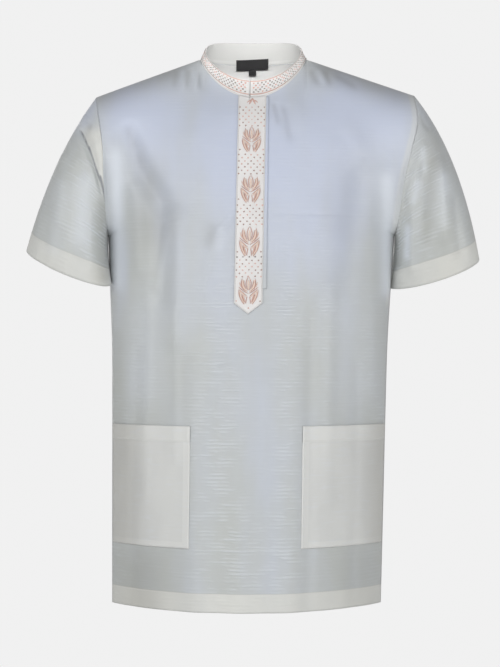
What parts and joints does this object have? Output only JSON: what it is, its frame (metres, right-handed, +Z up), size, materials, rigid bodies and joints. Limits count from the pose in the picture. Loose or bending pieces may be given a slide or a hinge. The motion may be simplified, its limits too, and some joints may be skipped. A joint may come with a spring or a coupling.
{
  "type": "fatua shirt",
  "caption": "Hollow hip-length short-sleeved fatua shirt as worn, with a stand collar, pointed half placket and hip patch pockets.",
  "frame": {"origin": "the middle of the neck opening, level with where the shoulder seams meet the collar, where the wearer's neck and shoulders hold the shirt", "axes": "+Z up, -Y out of the front, +X towards the wearer's left"},
  "size_m": [0.6419, 0.2485, 0.7981],
  "materials": {
    "cloth": "pale ice-blue silky cotton, soft sheen, fine horizontal rib",
    "doubled_cloth": "the same cloth where it lies double, off-white",
    "trim": "off-white cotton with raised dusty pink and peach embroidery",
    "label_tape": "black woven tape, bare"
  },
  "bodies": {
    "root": {"front": "cloth", "back": "cloth", "sleeve_right": "cloth", "sleeve_left": "cloth", "collar": "trim", "placket": "trim", "placket_under": "cloth", "pocket_right": "doubled_cloth", "pocket_left": "doubled_cloth", "label": "label_tape", "size_tab": "label_tape"}
  },
  "joints": []
}
